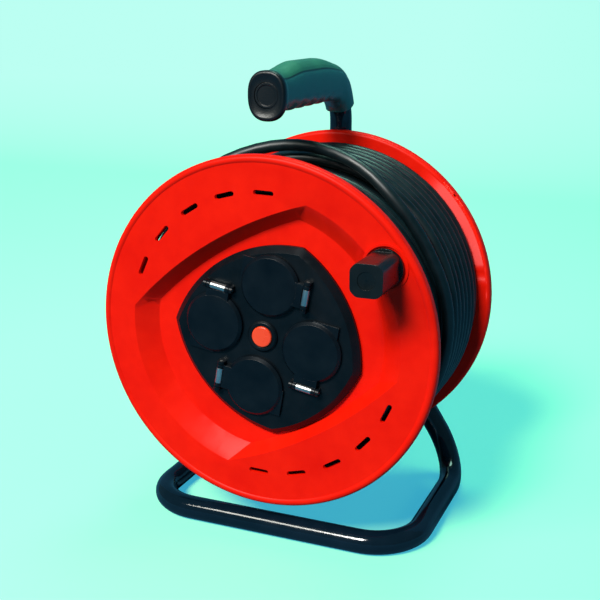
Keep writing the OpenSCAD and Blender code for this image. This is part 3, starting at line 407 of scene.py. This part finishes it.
black_enamel = make_black_enamel()
lean = asin(LEG_LEAN_SINE)
half = 0.120
foot_run = half / sin(lean) - LEG_START - FOOT_BEND
apex = TUBE + half / tan(lean)
down_right = (sin(lean), 0, -cos(lean))
start = np.array([0, LEG_PLANE, apex]) + LEG_START * np.array(down_right)
rail = LEG_DEPTH - FRONT_DEPTH - FRONT_BEND - FOOT_BEND
base_path = bent_path(start, down_right, [
    (foot_run, FOOT_BEND, (0, -1, 0)), (rail, FRONT_BEND, (-1, 0, 0)),
    (2 * (half - FRONT_BEND), FRONT_BEND, (0, 1, 0)),
    (rail, FOOT_BEND, (sin(lean), 0, cos(lean))),
    (foot_run, 0, None)], pieces=14)
base_away = base_path - np.array([0, 0.02, 0.12])
base_piece = skin("base_tube_finish", tube(base_path, TUBE, 40, base_away), "stand")
base_piece.data.materials.append(black_enamel)
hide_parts("base_tube")

# ---------- Handle tube ----------
# The same enamelled tube, rising from the hub behind the drum and bent forward over it to
# carry the grip.

HANDLE_X, HANDLE_BEND = -0.005, 0.036
HANDLE_RISE = 0.187            # from the axle up to the tube's forward run
HANDLE_TOP = AXLE.z + HANDLE_RISE
HANDLE_FOOT = 0.022            # from the axle up to the tube's lower end
HANDLE_FRONT = 0.039           # from the rim's plane back to the tube's front end
handle_path = bent_path((HANDLE_X, LEG_PLANE, AXLE.z + HANDLE_FOOT), (0, 0, 1), [
    (HANDLE_RISE - HANDLE_BEND - HANDLE_FOOT, HANDLE_BEND, (0, -1, 0)),
    (LEG_DEPTH - HANDLE_BEND - HANDLE_FRONT, 0, None)], pieces=14)
handle_away = np.broadcast_to([1.0, 0, 0], handle_path.shape)
handle_piece = skin("handle_tube_finish", tube(handle_path, TUBE, 40, handle_away), "stand")
handle_piece.data.materials.append(black_enamel)
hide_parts("handle_tube")

# ---------- Grip ----------
# Moulded hand grip pushed on the handle tube: a wide stop at the front, a crowned back, flat
# sides between two moulded lines, and hollows underneath for the fingers.

GRIP_FRONT, STOP, RUN = 0.025, 0.008, 0.130
GRIP_END = RUN + HANDLE_BEND * radians(66)


def eased(a, b, s, s0, s1):
    """From a at s0 to b at s1 as a + (b - a) u u (3 - 2 u)."""
    u = np.clip((s - s0) / (s1 - s0), 0, 1)
    return a + (b - a) * u * u * (3 - 2 * u)


def grip_ring(s, turn):
    """Across and up offsets of the grip's skin at a distance s from its front: a rounded square
    w sgn(cos t) |cos t|^0.82 by h sgn(sin t) |sin t|^0.82, with its own height above and below,
    a drawn line where the sides meet the back, and a raised cosine for each finger's hollow."""
    near = s < STOP + 0.004
    wide = np.where(near, eased(0.016, 0.0145, s, STOP - 0.003, STOP + 0.004),
                    eased(0.0145, TUBE + 0.0025, s, RUN + 0.010, GRIP_END))
    rise = np.where(s < RUN * 0.4, eased(0.0185, 0.024, s, STOP + 0.004, RUN * 0.4),
                    eased(0.024, TUBE + 0.0025, s, RUN * 0.7, GRIP_END))
    rise = np.where(near, eased(0.019, 0.0185, s, STOP - 0.003, STOP + 0.004), rise)
    along = (s - STOP - 0.008) / (RUN - STOP - 0.020)
    finger = np.where((along > 0) & (along < 1), 0.001 * (1 - np.cos(2 * pi * 5 * along)), 0)
    fall = np.where(s < STOP + 0.005,
                    eased(0.020, TUBE + 0.0045, s, STOP - 0.003, STOP + 0.005),
                    eased(TUBE + 0.0045, TUBE + 0.0025, s, RUN, GRIP_END) - finger)
    c, t = np.cos(turn), np.sin(turn)
    away = np.degrees(np.arcsin(np.abs(c))) - 52
    drawn = np.where(t > 0, 0.035 * np.exp(-(away / 3.2) ** 2), 0)
    drawn = drawn * eased(0, 1, s, STOP + 0.002, STOP + 0.010) * eased(1, 0, s, RUN, GRIP_END)
    x = wide * np.sign(c) * np.abs(c) ** 0.82
    y = np.where(t > 0, rise, fall) * np.sign(t) * np.abs(t) ** 0.82
    return x * (1 - drawn), y * (1 - drawn)


def grip_skin():
    """Rings from the grip's back end to its rounded front edge, over the front face, and back
    through the bore. Past the straight run a ring swings round the tube's bend."""
    turn = np.arange(72) * radians(5)
    s = np.concatenate([np.linspace(GRIP_END, 0.0024, 150),
                        [0.0014, 0.0006, 0.0001, 0.0001, 0.0008]])
    scale = np.concatenate([np.ones(150), [0.985, 0.955, 0.91, 0.84, 0.80]])[:, None]
    x, y = grip_ring(s[:, None], turn)
    x, y = x * scale, y * scale
    bore = np.array([0.0008, 0.002, 0.060, RUN, GRIP_END])
    s = np.concatenate([s, bore])
    x = np.concatenate([x, np.broadcast_to(0.0102 * np.cos(turn), (5, 72))])
    y = np.concatenate([y, np.broadcast_to(0.0102 * np.sin(turn), (5, 72))])
    swing = np.maximum(0, s - RUN)[:, None] / HANDLE_BEND
    run = RIM + GRIP_FRONT + np.minimum(s, RUN)[:, None]
    out = HANDLE_BEND + y
    straight = swing <= 0
    back = np.where(straight, run, run + out * np.sin(swing))
    up = np.where(straight, HANDLE_TOP + y, HANDLE_TOP - HANDLE_BEND + out * np.cos(swing))
    return np.stack([HANDLE_X + x, back, up], -1)


def make_grip_plastic():
    """Plastic with a leathery grain and a shine that hands have rubbed uneven. The front stop is
    near black. Behind it, the back's lighter green is a painted highlight from the lamp overhead
    and the sides' blue-green a painted reflection of the aqua backdrop; the moulded line where
    they meet, at 0.142 of a turn from the top, is darkened with painted shade."""
    material, shader, at = new_material("grip_plastic", IOR=1.5)
    uv = Shade(material.node_tree.nodes.new("ShaderNodeTexCoord").outputs["UV"])
    round_ = uv.make("ShaderNodeSeparateXYZ", {}, {"Vector": uv}, out=1) - 0.25
    from_top = round_.sum_with("ABSOLUTE", round_)
    # Painted shade: the moulded line between the back and the sides is darkened as if shade lay in
    # it.
    painted_groove_shade = from_top.within(0.134, 0.142) * (1 - from_top.within(0.146, 0.158))
    rubbed = at.noise(0.025, 4).within(0.3, 0.75)
    behind = at.make("ShaderNodeSeparateXYZ", {}, {"Vector": at}, out=1)
    body = behind.within(RIM + GRIP_FRONT + 0.004, RIM + GRIP_FRONT + 0.006)
    # Painted light: behind the stop, the back's lighter green is a painted highlight and the sides'
    # blue-green a painted reflection of the backdrop.
    painted_highlight_and_reflection = from_top.within(0.138, 0.146).between((0.035, 0.200, 0.115), (0.018, 0.140, 0.135))
    wear(shader, colour=body.make("ShaderNodeMix", {"data_type": "RGBA"}, {
        0: body * (0.75 + 0.25 * rubbed) * (1 - 0.85 * painted_groove_shade), 6: (0.002, 0.004, 0.006, 1),
        7: painted_highlight_and_reflection}, out=2), roughness=0.30 + 0.12 * rubbed, height=at.noise(0.0011, 3),
        depth=0.00012)
    return material


grip_plastic = make_grip_plastic()
grip_piece = skin("handle_grip_finish", grip_skin(), "stand", sharp=50, looped=True)
grip_piece.data.materials.append(grip_plastic)
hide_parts("handle_grip")
moulded("grip_plug", 0.0006, grip_plastic)

# ---------- Hub ----------
# Two halves of black plastic that clamp the ends of the three tubes behind the drum and hold
# the axle. Three countersunk screws draw them together.

hub_plastic = make_plain("hub_plastic", (0.006, 0.008, 0.009), (0.012, 0.015, 0.016),
                         0.45, 0.0009, 0.00006)
moulded("frame_hub", 0.0010, hub_plastic)
moulded("hub_cover", 0.0010, hub_plastic)

zinc = make_plain("zinc_plate", (0.50, 0.51, 0.50), (0.66, 0.66, 0.63), 0.34, 0.0006, 0.00001,
                  Metallic=1.0)
moulded("hub_screws", 0.0002, zinc)

# ---------- Axle ----------
# Zinc-plated steel pin, clamped in the hub by a nut, with a thrust washer, and a washer and a
# spring clip inside the barrel that keep the drum on it. The drum's bushes are brass.

for node in ("axle", "axle_nut", "thrust_washer", "axle_washer", "axle_clip"):
    moulded(node, 0.0002, zinc)
bush_brass = make_plain("bush_brass", (0.62, 0.42, 0.16), (0.74, 0.53, 0.24), 0.3, 0.0006,
                        0.00001, Metallic=1.0)
moulded("bearing_bushes", 0.0003, bush_brass)

# ---------- Flanges and barrel ----------
# Injection-moulded orange-red plastic: the dished front flange with its rows of vent slots, the
# ribbed rear flange and the barrel between them, held together by four long bolts.


def make_drum_red():
    """Orange-red moulded plastic: a little lighter and darker in slow clouds, with faint flow
    streaks round the axle, a fine grain from the mould, and light scuffs that dull it."""
    material, shader, at = new_material("drum_red", IOR=1.46)
    shader.inputs["Specular IOR Level"].default_value = 0.12
    cloud = at.noise(0.05, 3)
    streak = at.noise(0.012, 3, stretch=(1, 0.2, 1))
    scuff = at.noise(0.006, 5, stretch=(1, 1, 0.35)).within(0.62, 0.78)
    grain = at.noise(0.0008, 2)
    tone = (0.6 * cloud + 0.4 * streak).within(0.3, 0.7)
    wear(shader, colour=tone.between((0.82, 0.006, 0.001), (0.96, 0.012, 0.002)),
         roughness=0.33 + 0.10 * cloud + 0.14 * scuff, height=0.7 * grain + 0.3 * streak,
         depth=0.00008)
    return material


drum_red = make_drum_red()
moulded("front_flange", 0.0007, drum_red)
moulded("rear_flange", 0.0006, drum_red)
moulded("drum_barrel", 0.0004, drum_red)
moulded("tie_bolts", 0.0003, zinc)

# ---------- Socket plate ----------
# Black moulded plate with four curved sides, screwed into the dish from behind. It carries the
# hinge lugs of the lids and the bezel round the reset button.

socket_black = make_plain("socket_black", (0.001, 0.003, 0.005), (0.003, 0.006, 0.009),
                          0.36, 0.0007, 0.00005, Specular_IOR_Level=0.25)
moulded("socket_plate", 0.0005, socket_black)
moulded("button_bezel", 0.0004, socket_black)

# ---------- Socket carrier and contacts ----------
# The wells behind the plate and the floor with the pin holes, in pale heat-resistant plastic.
# Brass contact tubes on two rings, and an earth clip on each side of every well.

carrier_grey = make_plain("carrier_grey", (0.42, 0.41, 0.37), (0.56, 0.55, 0.50), 0.5, 0.0009,
                          0.00005)
contact_brass = make_plain("contact_brass", (0.66, 0.47, 0.19), (0.78, 0.58, 0.27), 0.24,
                           0.0006, 0.00001, Metallic=1.0)
for node in ("socket_carrier", "terminal_block", "thermal_cutout"):
    moulded(node, 0.0004, carrier_grey)
for node in ("line_contacts", "neutral_contacts", "earth_clips"):
    moulded(node, 0.0001, contact_brass)
for node in ("plate_screws", "carrier_screws"):
    moulded(node, 0.0001, zinc)

# ---------- Lids ----------
# A round black lid over each socket, sprung shut on a steel pin, with a lift tab on the side
# away from its hinge.

lid_black = make_plain("lid_black", (0.001, 0.003, 0.006), (0.003, 0.007, 0.011),
                       0.33, 0.0007, 0.00004, Specular_IOR_Level=0.25)
for node in ("lid_1", "lid_2", "lid_3", "lid_4"):
    moulded(node, 0.0006, lid_black)
for node in ("hinge_pins", "lid_springs"):
    moulded(node, 0.0001, zinc)

# ---------- Reset button ----------
# Bright orange push button of the thermal cut-out in the middle of the plate, on a coil spring.

button_red = make_plain("button_red", (0.90, 0.055, 0.016), (0.98, 0.085, 0.025), 0.28, 0.0009,
                        0.00003)
moulded("reset_button", 0.0009, button_red)
moulded("button_spring", 0, zinc, turn=70)

# ---------- Cord entry ----------
# A screwed gland in the barrel's wall holds the cord's inner end, which runs to the terminals.

gland_black = make_plain("gland_black", (0.011, 0.011, 0.011), (0.02, 0.02, 0.02), 0.48, 0.0008,
                         0.00005)
moulded("cord_gland", 0.0003, gland_black)
moulded("gland_nut", 0.0003, gland_black)
moulded("cord_tail", 0, cord_rubber)

# ---------- Crank knob ----------
# A square-sided black knob that turns on a steel spindle near the rim, with a cap pressed over
# the spindle's head.

knob_black = make_plain("knob_black", (0.003, 0.005, 0.006), (0.006, 0.009, 0.010), 0.3,
                        0.0008, 0.00004, Specular_IOR_Level=0.35)
moulded("crank_knob", 0.0016, knob_black)
moulded("knob_cap", 0.0003, knob_black)
moulded("knob_spindle", 0.0003, zinc)

# ---------- Floor, backdrop and light ----------
# A seamless pale aqua sheet that lies flat and sweeps up behind the reel, under plain studio
# light: a key and a strip for the highlights from above the front, a soft green-tinted lamp
# overhead, and a cool fill.


def backdrop():
    """Rows of points across a sheet that is flat up to y = 1.6 m, then rises on a quarter circle
    of 1.2 m: y = 1.6 + 1.2 sin t, z = 1.2 (1 - cos t), and on up."""
    t = np.radians(np.linspace(0, 90, 24))
    y = np.concatenate([[-4.0], 1.6 + 1.2 * np.sin(t), [2.8]])
    z = np.concatenate([[0.0], 1.2 * (1 - np.cos(t)), [5.0]])
    x = np.array([-5.0, 5.0])
    grid = np.stack([np.broadcast_to(x, (26, 2)), np.repeat(y[:, None], 2, 1),
                     np.repeat(z[:, None], 2, 1)], -1)
    i = np.arange(25) * 2
    mesh = bpy.data.meshes.new("backdrop")
    mesh.from_pydata(grid.reshape(-1, 3), [], np.stack([i, i + 1, i + 3, i + 2], -1).tolist())
    mesh.shade_smooth()
    return bpy.data.objects.new("backdrop", mesh)


def make_aqua_sheet():
    """Pale aqua paper. The camera sees it bright, paler to the left than to the right: painted
    light that falls off across it. The floor also glows a dim blue, painted fill light that gives
    the reel's shadow on it its blue; everything else sees it darker, so that it throws little
    light back on the reel."""
    material, shader, at = new_material("aqua_sheet", Roughness=0.95)
    shader.inputs["Specular IOR Level"].default_value = 0
    shader.inputs["Emission Strength"].default_value = 1
    seen = at.make("ShaderNodeLightPath")
    # Painted light: along this mask the wall's glow and the floor's colour grow paler towards the
    # left, a painted fall-off of light.
    across = at.make("ShaderNodeSeparateXYZ", {}, {"Vector": at}).within(-0.5, 0.9)
    wall = at.make("ShaderNodeSeparateXYZ", {}, {"Vector": at}, out=2).within(0, 0.2)
    even = across.between((0.50, 1.0, 0.89), (0.36, 1.0, 0.82))
    # Painted fill light: the floor glows a dim blue of its own, which shows as the colour of the
    # reel's shadow.
    glow = wall.make("ShaderNodeMix", {"data_type": "RGBA"},
                     {0: wall, 6: (0.035, 0.36, 0.55, 1), 7: even}, out=2)
    links = material.node_tree.links
    floor = across.between((0.40, 0.82, 0.27), (0.27, 0.82, 0.20))
    wear(shader, colour=seen.make("ShaderNodeMix", {"data_type": "RGBA"}, {
        0: seen, 6: (0.04, 0.17, 0.28, 1),
        7: wall.make("ShaderNodeMix", {"data_type": "RGBA"},
                     {0: wall, 6: floor, 7: (0, 0, 0, 1)}, out=2)}, out=2))
    links.new(seen.make("ShaderNodeMix", {"data_type": "RGBA"},
                        {0: seen, 6: (0, 0, 0, 1), 7: glow}, out=2).socket,
              shader.inputs["Emission Color"])
    return material


sheet = backdrop()
bpy.context.scene.collection.objects.link(sheet)
sheet.data.materials.append(make_aqua_sheet())

middle = Vector((0, 0, 0.18))


def lamp(name, kind, place, power, colour, **settings):
    """A lamp aimed at the middle of the reel."""
    light = bpy.data.objects.new(name, bpy.data.lights.new(name, kind))
    light.data.energy, light.data.color = power, colour
    for key, value in settings.items():
        setattr(light.data, key, value)
    light.location = place
    light.rotation_mode = "QUATERNION"
    light.rotation_quaternion = (middle - light.location).to_track_quat("-Z", "Y")
    bpy.context.scene.collection.objects.link(light)
    return light


lamp("key", "SUN", (-0.28, -1.44, 1.54), 3.1, (1.0, 0.99, 0.96), angle=radians(16))
lamp("strip", "AREA", (-0.62, -1.2, 1.17), 9, (1.0, 1.0, 0.90), shape="RECTANGLE", size=0.55,
     size_y=0.32)
lamp("overhead", "AREA", (0, 0.35, 1.5), 9, (0.50, 1.0, 0.80), size=0.5)
fill = lamp("fill", "AREA", (1.5, -0.3, 0.7), 4, (0.55, 0.86, 1.0), size=1.0)
fill.visible_glossy = False

world = bpy.data.worlds.new("studio")
world.use_nodes = True
world.node_tree.nodes["Background"].inputs["Color"].default_value = (0.25, 0.80, 0.95, 1)
world.node_tree.nodes["Background"].inputs["Strength"].default_value = 0.12
bpy.context.scene.world = world
